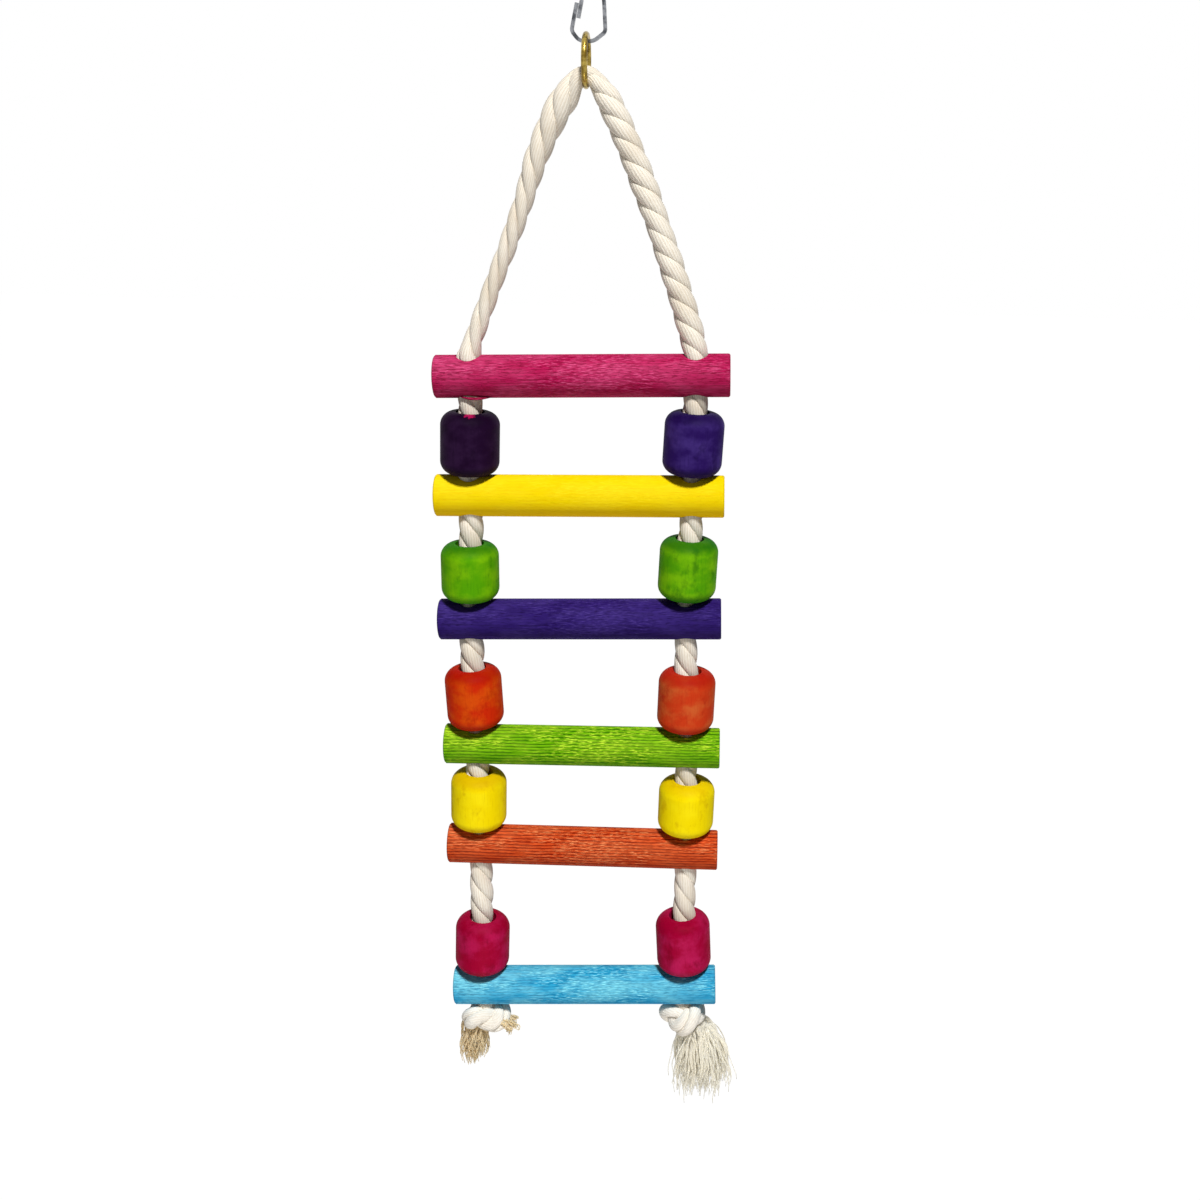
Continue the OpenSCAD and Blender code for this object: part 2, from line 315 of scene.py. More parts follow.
def skin(rings, along, first=0):
    """Faces and uv pairs of a closed tube through rings of points, with its two ends capped."""
    count, size = len(rings), len(rings[0])
    faces, uv = [], []
    for i in range(count - 1):
        for k in range(size):
            after = (k + 1) % size
            a, b = first + i * size, first + (i + 1) * size
            faces.append((a + k, a + after, b + after, b + k))
            low, high = k / size, (k + 1) / size
            uv += [(along[i], low), (along[i], high), (along[i + 1], high), (along[i + 1], low)]
    faces.append(tuple(first + k for k in range(size - 1, -1, -1)))
    faces.append(tuple(first + (count - 1) * size + k for k in range(size)))
    uv += [(along[0], k / size) for k in range(size - 1, -1, -1)]
    uv += [(along[-1], k / size) for k in range(size)]
    return faces, uv


print("mesh helpers ready")

# %% [markdown]
# ## Where a turned piece lies
# Rungs and beads are turned on a lathe, so their grain and tool marks follow their own axis. Every
# CAD object keeps its origin at the hanging point, so the axis is measured from the mesh: its flat
# end faces point along it. The texture is then laid out from the middle of the piece, in millimetres.

# %% Measure a turned piece
END_FACE_COS = 0.98


def lie_of(obj, guess):
    """The middle and the axis of a turned piece, from its corners and its end faces."""
    mesh = obj.data
    corners = np.empty(len(mesh.vertices) * 3)
    mesh.vertices.foreach_get("co", corners)
    corners = corners.reshape(-1, 3)
    axis = Vector((0, 0, 0))
    for face in mesh.polygons:
        if face.normal.dot(guess) > END_FACE_COS:
            axis += face.normal * face.area
    return Vector((corners.min(axis=0) + corners.max(axis=0)) / 2), axis.normalized()


def own_place(tree, middle, lean):
    """The place on a piece in millimetres from its middle, along its own axes."""
    coordinates = tree.nodes.new("ShaderNodeTexCoord")
    mapping = add(tree, "Mapping", {"vector_type": "TEXTURE"}, Vector=coordinates.outputs["Object"])
    mapping.inputs["Location"].default_value = middle
    mapping.inputs["Rotation"].default_value = (0, lean, 0)
    mapping.inputs["Scale"].default_value = (MM, MM, MM)
    return mapping.outputs[0]


for name in ("rung_1_magenta", "rung_6_blue"):
    middle, axis = lie_of(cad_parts[name], Vector((1, 0, 0)))
    print(name, "tilts", round(math.degrees(math.atan2(axis.z, axis.x)), 2), "degrees")

# %% [markdown]
# ## Dyed wood
# The rungs are dowels of open-grained wood, dipped in thin dye. Dye soaks unevenly into wood, so it
# shows long fine fibres, the parallel lines of the year rings, short pale flecks where a cut fibre
# took no dye, and dark pores. Fibres, flecks and pores are noises stretched about ten times or more
# along the dowel, because wood grows lengthwise. The year lines are even stripes, bent by a slow
# noise and broken by another. The lower half is darkened toward the deep colour as painted shade.

# %% Dyed wood group
YEAR_GAP = 1.4
GRAIN_SLANT = 0.35
# Painted shade on each rung's lower half: the heights in millimetres over which it fades, and its share.
UNDERSIDE = (-8.5, 0.5)
UNDERSIDE_SHADE_SHARE = 0.45


def dyed_wood_group():
    tree, given, out = new_group("Dyed wood", [
        ("Place", "Vector", None), ("Dye", "Color", (0.5, 0.1, 0.1, 1)), ("Deep", "Color", (0.2, 0, 0, 1)),
        ("Pale", "Color", (0.9, 0.6, 0.5, 1)), ("Fibres", "Float", 0.5), ("Year lines", "Float", 0.3),
        ("Flecks", "Float", 0.5), ("Patches", "Float", 0.3),
    ], [("Colour", "Color"), ("Roughness", "Float"), ("Height", "Float")])
    place = given["Place"]
    wander = noise(tree, stretch(tree, place, (0.03, 0.1, 0.1)), detail=2)
    bent = add(tree, "VectorMath", {"operation": "ADD"}, _0=place).outputs[0]
    sway = add(tree, "CombineXYZ", None, Z=maths(tree, "MULTIPLY", wander, 2.0))
    tree.links.new(sway.outputs[0], bent.node.inputs[1])
    fibre = noise(tree, stretch(tree, bent, (0.07, 2.6, 2.6)), detail=4, rough=0.6)
    fibre_mask = ramp(tree, fibre, 0.42, 0.66)
    sides = add(tree, "SeparateXYZ", None, Vector=bent).outputs
    across = maths(tree, "MULTIPLY_ADD", sides["Y"], GRAIN_SLANT, sides["Z"])
    lines = maths(tree, "PINGPONG", maths(tree, "DIVIDE", across, YEAR_GAP), 0.5)
    breaks = noise(tree, stretch(tree, place, (0.08, 1.1, 1.1), (3, 8, 2)), detail=3)
    line_mask = maths(tree, "MULTIPLY", ramp(tree, lines, 0.18, 0.42), ramp(tree, breaks, 0.28, 0.48))
    cut = noise(tree, stretch(tree, place, (0.36, 3.7, 3.7), (7, 3, 1)), detail=1)
    where = noise(tree, stretch(tree, place, (0.05, 0.16, 0.16), (2, 9, 4)), detail=2)
    fleck_mask = maths(tree, "MULTIPLY", ramp(tree, cut, 0.56, 0.66), ramp(tree, where, 0.36, 0.58))
    pore_mask = ramp(tree, cut, 0.34, 0.44, 1.0, 0.0)
    # Painted shade: the rung's lower half is blended toward the deep colour.
    height_on_rung = add(tree, "SeparateXYZ", None, Vector=place).outputs["Z"]
    underside_shade = ramp(tree, height_on_rung, *UNDERSIDE, 1.0, 0.0)
    # Broad pale patches: uneven dye, and on the blue rung also a painted sheen.
    thin_dye_and_sheen = noise(tree, stretch(tree, place, (0.045, 0.13, 0.13), (5, 1, 8)), detail=3)
    patch = ramp(tree, thin_dye_and_sheen, 0.35, 0.7)
    colour = given["Dye"]
    for mask, share, over in ((fibre_mask, given["Fibres"], "Deep"), (line_mask, given["Year lines"], "Deep"),
                              (patch, given["Patches"], "Pale"), (fleck_mask, given["Flecks"], "Pale"),
                              (pore_mask, given["Fibres"], "Deep"), (underside_shade, UNDERSIDE_SHADE_SHARE, "Deep")):
        colour = blend_colours(tree, maths(tree, "MULTIPLY", mask, share), colour, given[over])
    tree.links.new(colour, out["Colour"])
    rough = maths(tree, "ADD", 0.5, maths(tree, "MULTIPLY", fibre, 0.25))
    tree.links.new(rough, out["Roughness"])
    height = maths(tree, "SUBTRACT", fibre, maths(tree, "MULTIPLY_ADD", line_mask, 0.5, pore_mask))
    tree.links.new(height, out["Height"])
    return tree


DYED_WOOD = dyed_wood_group()
print("group", DYED_WOOD.name, "with", len(DYED_WOOD.nodes), "nodes")

# %% [markdown]
# ## The six rungs
# Each rung keeps its CAD shape and gets its own dye. The dyes differ in more than colour: green and
# orange show the year lines strongly, yellow and purple hide them, and the blue has broad pale
# patches, partly uneven dye and partly a painted sheen.

# %% Rung finishes
RUNG_DYES = {
    "rung_1_magenta": dict(dye=(184, 24, 84), deep=(112, 0, 26), pale=(232, 98, 150),
                           fibres=0.50, lines=0.35, flecks=0.60, patches=0.25),
    "rung_2_yellow": dict(dye=(237, 208, 0), deep=(226, 144, 0), pale=(252, 228, 40),
                          fibres=0.10, lines=0.08, flecks=0.40, patches=0.25, grain=0.03),
    "rung_3_purple": dict(dye=(44, 24, 102), deep=(16, 2, 44), pale=(90, 70, 156),
                          fibres=0.50, lines=0.12, flecks=0.40, patches=0.20, grain=0.06),
    "rung_4_green": dict(dye=(116, 186, 6), deep=(30, 96, 0), pale=(206, 238, 58),
                         fibres=0.35, lines=0.90, flecks=0.95, patches=0.20),
    "rung_5_orange": dict(dye=(214, 78, 30), deep=(122, 8, 0), pale=(248, 152, 96),
                          fibres=0.35, lines=0.90, flecks=0.70, patches=0.15),
    # The blue's strong pale patches stand partly for a painted sheen.
    "rung_6_blue": dict(dye=(50, 172, 216), deep=(0, 100, 156), pale=(150, 238, 248),
                        fibres=0.40, lines=0.45, flecks=0.85, patches=0.45),
}
WOOD_SHINE = 0.03


def finish_rung(name, dye, deep, pale, fibres, lines, flecks, patches, grain=0.10):
    """Gives a rung its dye. The grain is the depth of the fibres in millimetres."""
    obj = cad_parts[name]
    middle, axis = lie_of(obj, Vector((1, 0, 0)))
    material, tree, shader = new_material("dyed_" + name, Specular_IOR_Level=WOOD_SHINE)
    place = own_place(tree, middle, -math.atan2(axis.z, axis.x))
    wood = place_in(tree, DYED_WOOD, Place=place, Dye=paint(*dye), Deep=paint(*deep), Pale=paint(*pale),
                    Fibres=fibres, Flecks=flecks, Patches=patches, **{"Year lines": lines})
    tree.links.new(wood.outputs["Colour"], shader.inputs["Base Color"])
    tree.links.new(wood.outputs["Roughness"], shader.inputs["Roughness"])
    bump(tree, shader, wood.outputs["Height"], grain * MM)
    for slot in obj.material_slots:
        slot.material = material


for name, dyes in RUNG_DYES.items():
    finish_rung(name, **dyes)
print("rungs finished:", len(RUNG_DYES))

# %% [markdown]
# ## Turned beads
# A bead is a barrel of soft wood, turned and dipped in dye. The dye dries in cloudy patches and pools
# darker on the flat ends and round the rope hole, and the lathe leaves fine rings. The same place in
# millimetres tells the material where it is: the height gives the rings, and the distance from the
# middle gives the pooled dye.

# %% Turned bead group
LATHE_RINGS = 2.6
POOLED_FROM = (7.5, 12.0)
STAIN_SHARE, GRAIN_SHARE = 0.55, 0.22


def turned_bead_group():
    tree, given, out = new_group("Turned bead", [
        ("Place", "Vector", None), ("Dye", "Color", (0.5, 0.1, 0.1, 1)), ("Deep", "Color", (0.2, 0, 0, 1)),
        ("Pale", "Color", (0.9, 0.6, 0.5, 1)), ("Clouds", "Float", 0.5), ("Pooled", "Float", 0.8),
        ("Seed", "Vector", (0, 0, 0)),
    ], [("Colour", "Color"), ("Roughness", "Float"), ("Height", "Float")])
    moved = add(tree, "VectorMath", {"operation": "ADD"}, _0=given["Place"], _1=given["Seed"]).outputs[0]
    cloud = noise(tree, stretch(tree, moved, (0.10, 0.10, 0.13)), detail=4, rough=0.55)
    stain = noise(tree, stretch(tree, moved, (0.16, 0.16, 0.10), (4, 2, 6)), detail=5, rough=0.65)
    along = add(tree, "SeparateXYZ", None, Vector=given["Place"]).outputs["Z"]
    ring_place = add(tree, "CombineXYZ", None, Z=maths(tree, "MULTIPLY", along, LATHE_RINGS)).outputs[0]
    rings = noise(tree, ring_place, detail=3)
    pooled = ramp(tree, maths(tree, "ABSOLUTE", along), *POOLED_FROM)
    grain = noise(tree, stretch(tree, moved, (1.6, 1.6, 0.12)), detail=3)
    colour = given["Dye"]
    for mask, share, over in ((ramp(tree, cloud, 0.36, 0.66), given["Clouds"], "Pale"),
                              (ramp(tree, stain, 0.52, 0.72), STAIN_SHARE, "Deep"),
                              (pooled, given["Pooled"], "Deep"),
                              (ramp(tree, grain, 0.5, 0.75), GRAIN_SHARE, "Deep")):
        colour = blend_colours(tree, maths(tree, "MULTIPLY", mask, share), colour, given[over])
    tree.links.new(colour, out["Colour"])
    tree.links.new(maths(tree, "ADD", 0.42, maths(tree, "MULTIPLY", stain, 0.3)), out["Roughness"])
    height = maths(tree, "ADD", maths(tree, "MULTIPLY", rings, 0.6), maths(tree, "MULTIPLY", grain, 0.4))
    tree.links.new(height, out["Height"])
    return tree


TURNED_BEAD = turned_bead_group()
print("group", TURNED_BEAD.name, "with", len(TURNED_BEAD.nodes), "nodes")

# %% Bead finishes
BEAD_DYES = {
    "bead_1_left_plum": dict(dye=(28, 6, 36), deep=(12, 0, 18), pale=(52, 28, 62),
                             clouds=0.55, pooled=0.6),
    "bead_1_right_violet": dict(dye=(38, 16, 84), deep=(14, 0, 46), pale=(76, 54, 132),
                                clouds=0.55, pooled=0.7),
    "bead_2_left_green": dict(dye=(82, 156, 4), deep=(14, 92, 4), pale=(132, 190, 10),
                              clouds=0.60, pooled=0.8),
    "bead_2_right_green": dict(dye=(78, 152, 6), deep=(12, 86, 6), pale=(134, 194, 12),
                               clouds=0.65, pooled=0.85),
    "bead_3_left_red": dict(dye=(200, 40, 6), deep=(156, 8, 2), pale=(220, 92, 10),
                            clouds=0.60, pooled=0.8),
    "bead_3_right_red": dict(dye=(200, 58, 22), deep=(164, 20, 8), pale=(206, 106, 50),
                             clouds=0.65, pooled=0.8),
    "bead_4_left_yellow": dict(dye=(244, 216, 0), deep=(200, 156, 0), pale=(254, 234, 20),
                               clouds=0.50, pooled=0.7),
    "bead_4_right_yellow": dict(dye=(244, 218, 0), deep=(206, 164, 0), pale=(254, 234, 20),
                                clouds=0.50, pooled=0.6),
    "bead_5_left_crimson": dict(dye=(158, 0, 46), deep=(106, 0, 18), pale=(196, 30, 92),
                                clouds=0.60, pooled=0.3),
    "bead_5_right_crimson": dict(dye=(160, 0, 50), deep=(110, 0, 20), pale=(196, 34, 96),
                                 clouds=0.60, pooled=0.3),
}
LATHE_DEPTH = 0.06 * MM
SEED_STEP = 37
DABS = {"bead_1_left_plum": dict(at=(1.2, -7.5, 12.0), size=2.2, dye=(158, 14, 74))}


def dab(tree, place, at, size):
    """A mask that is 1 in a ragged spot, where another piece's wet dye touched this one."""
    gap = add(tree, "VectorMath", {"operation": "DISTANCE"}, _0=place, _1=at).outputs["Value"]
    ragged = maths(tree, "MULTIPLY_ADD", noise(tree, place, scale=0.9), 4.0, gap)
    return ramp(tree, ragged, size + 1.6, size + 2.4, 1.0, 0.0)


def finish_bead(number, name, dye, deep, pale, clouds, pooled):
    """Gives a bead its dye. Its number moves the noise, so that no two beads have the same clouds."""
    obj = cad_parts[name]
    middle, axis = lie_of(obj, Vector((0, 0, 1)))
    material, tree, shader = new_material("dyed_" + name, Specular_IOR_Level=WOOD_SHINE)
    place = own_place(tree, middle, math.atan2(axis.x, axis.z))
    seed = Vector((1, 2, 0)) * SEED_STEP * (number + 1)
    bead = place_in(tree, TURNED_BEAD, Place=place, Dye=paint(*dye), Deep=paint(*deep), Pale=paint(*pale),
                    Clouds=clouds, Pooled=pooled, Seed=seed)
    colour = bead.outputs["Colour"]
    if name in DABS:
        spot = DABS[name]
        colour = blend_colours(tree, dab(tree, place, spot["at"], spot["size"]), colour, paint(*spot["dye"]))
    tree.links.new(colour, shader.inputs["Base Color"])
    tree.links.new(bead.outputs["Roughness"], shader.inputs["Roughness"])
    bump(tree, shader, bead.outputs["Height"], LATHE_DEPTH)
    for slot in obj.material_slots:
        slot.material = material


for number, (name, dyes) in enumerate(BEAD_DYES.items()):
    finish_bead(number, name, **dyes)
print("beads finished:", len(BEAD_DYES))

# %% [markdown]
# ## Plated steel and brass
# The clip is bent from bright plated spring strip and the ring from drawn brass wire. Both are
# metals, so their colour sits in the reflection. What makes them real is handling: fine scuffs that
# spread the shine unevenly, and a dull film where nothing rubs them.

# %% Metal finishes
SCUFF_DEPTH = 0.01 * MM


def scuffed_metal_group():
    tree, given, out = new_group("Scuffed metal", [
        ("Place", "Vector", None), ("Bright", "Color", (0.8, 0.8, 0.8, 1)),
        ("Dull", "Color", (0.5, 0.5, 0.5, 1)), ("Smooth", "Float", 0.2), ("Rough", "Float", 0.4),
    ], [("Colour", "Color"), ("Roughness", "Float"), ("Height", "Float")])
    cloudy = noise(tree, stretch(tree, given["Place"], (0.3, 0.3, 0.3)), detail=4, rough=0.6)
    film = ramp(tree, cloudy, 0.35, 0.65)
    scuff = noise(tree, stretch(tree, given["Place"], (3.0, 3.0, 0.5)), detail=4, rough=0.7)
    tree.links.new(blend_colours(tree, film, given["Bright"], given["Dull"]), out["Colour"])
    spread = maths(tree, "SUBTRACT", given["Rough"], given["Smooth"])
    wear = maths(tree, "MULTIPLY_ADD", film, 0.6, maths(tree, "MULTIPLY", scuff, 0.4))
    rough = maths(tree, "ADD", given["Smooth"], maths(tree, "MULTIPLY", wear, spread))
    tree.links.new(rough, out["Roughness"])
    tree.links.new(scuff, out["Height"])
    return tree


SCUFFED_METAL = scuffed_metal_group()


def finish_metal(name, bright, dull, smooth, rough):
    """Gives a metal piece its two colours, and its roughness where it is bright and where it is dull."""
    material, tree, shader = new_material("metal_" + name, Metallic=1.0)
    low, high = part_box(name)
    middle = (Vector(low) + Vector(high)) / 2
    metal = place_in(tree, SCUFFED_METAL, Place=own_place(tree, middle, 0), Bright=paint(*bright),
                     Dull=paint(*dull), Smooth=smooth, Rough=rough)
    tree.links.new(metal.outputs["Colour"], shader.inputs["Base Color"])
    tree.links.new(metal.outputs["Roughness"], shader.inputs["Roughness"])
    bump(tree, shader, metal.outputs["Height"], SCUFF_DEPTH)
    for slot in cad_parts[name].material_slots:
        slot.material = material


finish_metal("clip", (140, 142, 146), (72, 74, 78), 0.18, 0.40)
finish_metal("ring", (180, 156, 78), (112, 90, 34), 0.16, 0.38)
print("metals finished: clip and ring")

# %% [markdown]
# ## Cotton yarn
# The rope is raw cotton: cream, matt, and never quite even in colour. Each strand is a bundle of
# yarns that were twisted the other way before the strands were laid, so fine lines cross every
# strand at a slant and end up lying along the rope. They come from the tube's own coordinates,
# along and round, which makes them follow every bend: a bump, and painted shade that darkens the
# grooves between the yarns. A little sheen stands for the fuzz. The loose yarns of the frayed ends
# are so thin that light comes through, so part of their shader is translucent.

# %% Cotton material
YARNS_IN_STRAND = 14
YARN_TURN = -19 * MM
FUZZ_ALONG, FUZZ_ROUND = 260.0, 1.6
# The drift share is uneven cotton; the groove share is painted shade between the yarns.
DRIFT_SHARE, GROOVE_SHADE_SHARE = 0.4, 0.50
YARN_DEPTH = 0.06 * MM


def cotton_group():
    tree, given, out = new_group("Cotton yarn", [
        ("Along and round", "Vector", None), ("Cream", "Color", (0.8, 0.75, 0.6, 1)),
        ("Shade", "Color", (0.6, 0.5, 0.4, 1)), ("Turn", "Float", YARN_TURN),
        ("Yarns", "Float", YARNS_IN_STRAND),
    ], [("Colour", "Color"), ("Height", "Float")])
    where = add(tree, "SeparateXYZ", None, Vector=given["Along and round"])
    along, around = where.outputs["X"], where.outputs["Y"]
    turned = maths(tree, "ADD", around, maths(tree, "DIVIDE", along, given["Turn"]))
    count = maths(tree, "MULTIPLY", turned, given["Yarns"])
    fuzz_place = add(tree, "CombineXYZ", None, X=maths(tree, "MULTIPLY", along, FUZZ_ALONG),
                     Y=maths(tree, "MULTIPLY", count, FUZZ_ROUND))
    fuzz = noise(tree, fuzz_place.outputs[0], scale=2.0, detail=4, rough=0.65)
    uneven = maths(tree, "MULTIPLY_ADD", fuzz, 0.9, count)
    wave = maths(tree, "SINE", maths(tree, "MULTIPLY", uneven, 2 * math.pi))
    yarn = maths(tree, "MULTIPLY_ADD", wave, 0.5, 0.5)
    # Painted shade: the grooves between yarns are blended toward the shade colour.
    groove_shade = ramp(tree, yarn, 0.0, 0.35, 1.0, 0.0)
    coordinates = tree.nodes.new("ShaderNodeTexCoord")
    drift = noise(tree, coordinates.outputs["Object"], scale=45.0, detail=3)
    # Random drift toward the darker colour is uneven cotton, and the grooves add painted shade.
    colour = given["Cream"]
    for mask, share in ((ramp(tree, drift, 0.35, 0.7), DRIFT_SHARE), (groove_shade, GROOVE_SHADE_SHARE)):
        colour = blend_colours(tree, maths(tree, "MULTIPLY", mask, share), colour, given["Shade"])
    tree.links.new(colour, out["Colour"])
    height = maths(tree, "MULTIPLY_ADD", fuzz, 0.35, maths(tree, "MULTIPLY", yarn, 0.65))
    tree.links.new(height, out["Height"])
    return tree


COTTON = cotton_group()


def cotton_material(name, cream, shade, depth, yarns=YARNS_IN_STRAND, glow=0.0):
    """Matt cotton with yarn lines of a depth. The glow is the share of light that comes through."""
    material, tree, shader = new_material(name, Roughness=0.92, Specular_IOR_Level=0.15, Sheen_Weight=0.25,
                                          Sheen_Roughness=0.5)
    coordinates = tree.nodes.new("ShaderNodeTexCoord")
    cotton = place_in(tree, COTTON, Cream=paint(*cream), Shade=paint(*shade), Yarns=yarns,
                      **{"Along and round": coordinates.outputs["UV"]})
    tree.links.new(cotton.outputs["Colour"], shader.inputs["Base Color"])
    bump(tree, shader, cotton.outputs["Height"], depth)
    if glow:
        through = add(tree, "BsdfTranslucent", None, Color=cotton.outputs["Colour"])
        both = add(tree, "MixShader", None, Fac=glow, _1=shader.outputs[0], _2=through.outputs[0])
        tree.links.new(both.outputs[0], tree.nodes["Material Output"].inputs["Surface"])
    return material


# Each second colour is the darker cotton that the random drift and the painted groove shade blend toward.
CREAM_ROPE = cotton_material("cream_cotton_rope", (245, 237, 222), (206, 188, 160), 0.17 * MM)
SOFT_KNOT = cotton_material("cream_cotton_knot", (251, 246, 236), (226, 212, 190), 0.15 * MM)
CREAM_YARN = cotton_material("cream_cotton_yarn", (255, 253, 246), (254, 249, 237), YARN_DEPTH, 8, 0.60)
TAN_YARN = cotton_material("tan_cotton_yarn", (252, 242, 214), (234, 212, 168), YARN_DEPTH, 8, 0.50)
print("cotton materials:", [m.name for m in (CREAM_ROPE, SOFT_KNOT, CREAM_YARN, TAN_YARN)])

# %% [markdown]
# ## The rope's route
# One rope goes up the left side through all six rungs, over the brass ring, and down the right side.
# The route repeats the CAD model's driving values: each hole's place follows from its rung, and each
# leg is a curve that leaves the ring at its own angle and arrives upright at the top rung.

# %% Driving values of the rope and rungs
RING_X, WIRE_Z = -1.0, -42.91
RING_WIRE, RING_FIT, PINCHED = 2.4, 0.3, 5.6
TOP_DROP = 111.6
RUNG_DROP = (50.1, 54.0, 58.6, 48.8, 70.8)
RUNG_SIDE = (-1.1, -1.9, -1.5, -0.3, 0.2, 1.4)
RUNG_TILT = (1.6, 1.3, 1.9, 1.0, 0.6, 2.8)
HOLE_SLIP = (0, 0.5, -1, -0.6, 0, -0.8)
RUNG_LENGTH, HOLE_INSET, RUNG_R = 120, 14, 8.75
ROPE_R = 5.0
LAY, RIGHT_LEG_LAY = 32, 28
LEG_ANGLE, LEG_RUN, LEG_STAND = (40, 46), (21, 18), (4, 7)
KNOT_W, KNOT_H, KNOT_ROPE_R, KNOT_TURN = (23, 22), (12, 13), 4.0, (66, 14)
SIDES = (-1, 1)
BEND_R = RING_WIRE / 2 + RING_FIT + PINCHED / 2
print("the rope bends over the ring at", round(BEND_R, 2), "mm from the wire's middle")


# %% Route of the rope
def in_hole(rung, side, height):
    """The point [x, z] on a rope hole's axis, at a height above the middle of its rung."""
    tilt = math.radians(RUNG_TILT[rung])
    x = SIDES[side] * (RUNG_LENGTH / 2 - HOLE_INSET) + HOLE_SLIP[rung]
    rung_z = WIRE_Z - TOP_DROP - sum(RUNG_DROP[:rung])
    return np.array((RING_X + RUNG_SIDE[rung] + x * math.cos(tilt) - height * math.sin(tilt),
                     rung_z + x * math.sin(tilt) + height * math.cos(tilt)))


def leg(side, count=60):
    """The leg from the top rung up to the ring, as a cubic curve."""
    angle = math.radians(LEG_ANGLE[side])
    end = np.array((RING_X + SIDES[side] * BEND_R * math.cos(angle), WIRE_Z + BEND_R * math.sin(angle)))
    start, upright = in_hole(0, side, RUNG_R), in_hole(0, side, RUNG_R + LEG_STAND[side])
    away = end + LEG_RUN[side] * np.array((SIDES[side] * math.sin(angle), -math.cos(angle)))
    return [start * (1 - t) ** 3 + upright * 3 * t * (1 - t) ** 2 + away * 3 * t * t * (1 - t) + end * t ** 3
            for t in np.linspace(0, 1, count)]


def side_points(side):
    """The holes of one side from the bottom knot up to the top rung."""
    points = [in_hole(5, side, -RUNG_R - KNOT_H[side] / 2)]
    for rung in range(5, -1, -1):
        points += [in_hole(rung, side, -RUNG_R), in_hole(rung, side, RUNG_R)]
    return points


def over_ring():
    """The arc over the ring's wire, from the left leg to the right one."""
    angles = np.radians(np.linspace(180 - LEG_ANGLE[0], LEG_ANGLE[1], 16))
    return [np.array((RING_X + BEND_R * math.cos(a), WIRE_Z + BEND_R * math.sin(a))) for a in angles]


def even_steps(points, step):
    """The same line cut into even steps, and each point's distance along it."""
    points = np.array(points)
    run = np.concatenate([[0], np.cumsum(np.linalg.norm(np.diff(points, axis=0), axis=1))])
    keep = np.concatenate([[True], np.diff(run) > 1e-9])
    along = np.linspace(0, run[-1], int(run[-1] / step) + 1)
    columns = [np.interp(along, run[keep], points[keep, i]) for i in range(points.shape[1])]
    return np.stack(columns, axis=1), along


STEP = 1.0
left_leg, right_leg = leg(0), leg(1)
raw_route = side_points(0) + left_leg[1:-1] + over_ring() + right_leg[-2:0:-1] + side_points(1)[::-1]
route, along_route = even_steps(raw_route, STEP)
print("rope length", round(along_route[-1]), "mm between the knots")

# %% [markdown]
# ## Laying the strands
# Real rope is laid: three strands lie side by side and turn together round the middle. Each strand
# here is its own tube on a helix, a third of a turn from the next, so the grooves between them and
# the scalloped outline are real shape. The rope turns the left-handed way, with its front strands
# sloping down to the right.

# %% Strand tubes
STRAND_OFFSET, STRAND_R, STRAND_WIDE = 2.80, 2.30, 1.36
STRAND_POINTS = 26


def smooth(values, reach):
    """A moving average that keeps the ends."""
    padded = np.concatenate([np.repeat(values[:1], reach, 0), values, np.repeat(values[-1:], reach, 0)])
    total = np.cumsum(np.concatenate([np.zeros((1,) + values.shape[1:]), padded]), axis=0)
    width = 2 * reach + 1
    return (total[width:] - total[:-width]) / width


def unit(vectors):
    return vectors / np.maximum(np.linalg.norm(vectors, axis=-1, keepdims=True), 1e-12)


def lay_strands(centre, across, through, along, radius, flat, turns, opened=1.0, wide=STRAND_WIDE):
    """Three strand tubes round a centre line in millimetres: their points in metres, faces and uv."""
    scale = radius / ROPE_R * np.ones(len(centre))
    apart = STRAND_OFFSET * scale * opened
    wide = (wide * np.ones(len(centre)))[:, None, None]
    points, faces, uv = [], [], []
    for strand in range(3):
        turn = 2 * np.pi * (strand / 3 - turns)
        out = across * np.cos(turn)[:, None] * flat[:, None] + through * np.sin(turn)[:, None]
        middle = centre + out * apart[:, None]
        ahead_ = unit(np.gradient(middle, axis=0))
        outward = unit(out - ahead_ * (out * ahead_).sum(axis=1)[:, None])
        beside = np.cross(ahead_, outward)
        size = (STRAND_R * scale * (0.5 + 0.5 * flat))[:, None, None]
        ring = np.linspace(0, 2 * np.pi, STRAND_POINTS, endpoint=False)
        rings = middle[:, None] + size * (outward[:, None] * np.cos(ring)[None, :, None]
                                          + wide * beside[:, None] * np.sin(ring)[None, :, None])
        new_faces, new_uv = skin(rings, along * MM, first=len(points))
        faces += new_faces
        uv += new_uv
        points += list(rings.reshape(-1, 3) * MM)
    return points, faces, uv


print("a strand is", round(2 * STRAND_R, 1), "mm thick and", round(2 * STRAND_R * STRAND_WIDE, 1), "mm wide")

# %% [markdown]
# Where the ring squeezes it, the rope goes flat across and keeps its width. The left leg was pulled
# hard, so it is thinner in its middle and bows a little. From the second rung down, each hole nips the
# rope at its upper mouth, apart from the one under the left plum bead. Slow waves open and close the
# strands a little all along.

# %% Lay the rope along its route
PINCH_START, PINCH_RUN = 4, 8
LEG_HEIGHTS = (0, 5, 20, 45, 60, 78, 92, 105)
LEFT_LEG_THIN = (1.0, 0.80, 0.74, 0.72, 0.80, 0.94, 1.06, 1.06)
LEFT_LEG_BOW = (0.2, 0.6, 1.1, 1.7, 1.4, -0.5, -0.6, 0)
ROUND_FROM, ROUND_TO, ROUND_LESS = 4, 92, 0.10
MOUTH_REACH, MOUTH_THIN, MOUTH_FULL = 2.6, 0.30, 1.6
OPEN_MOUTH = (1, 0)

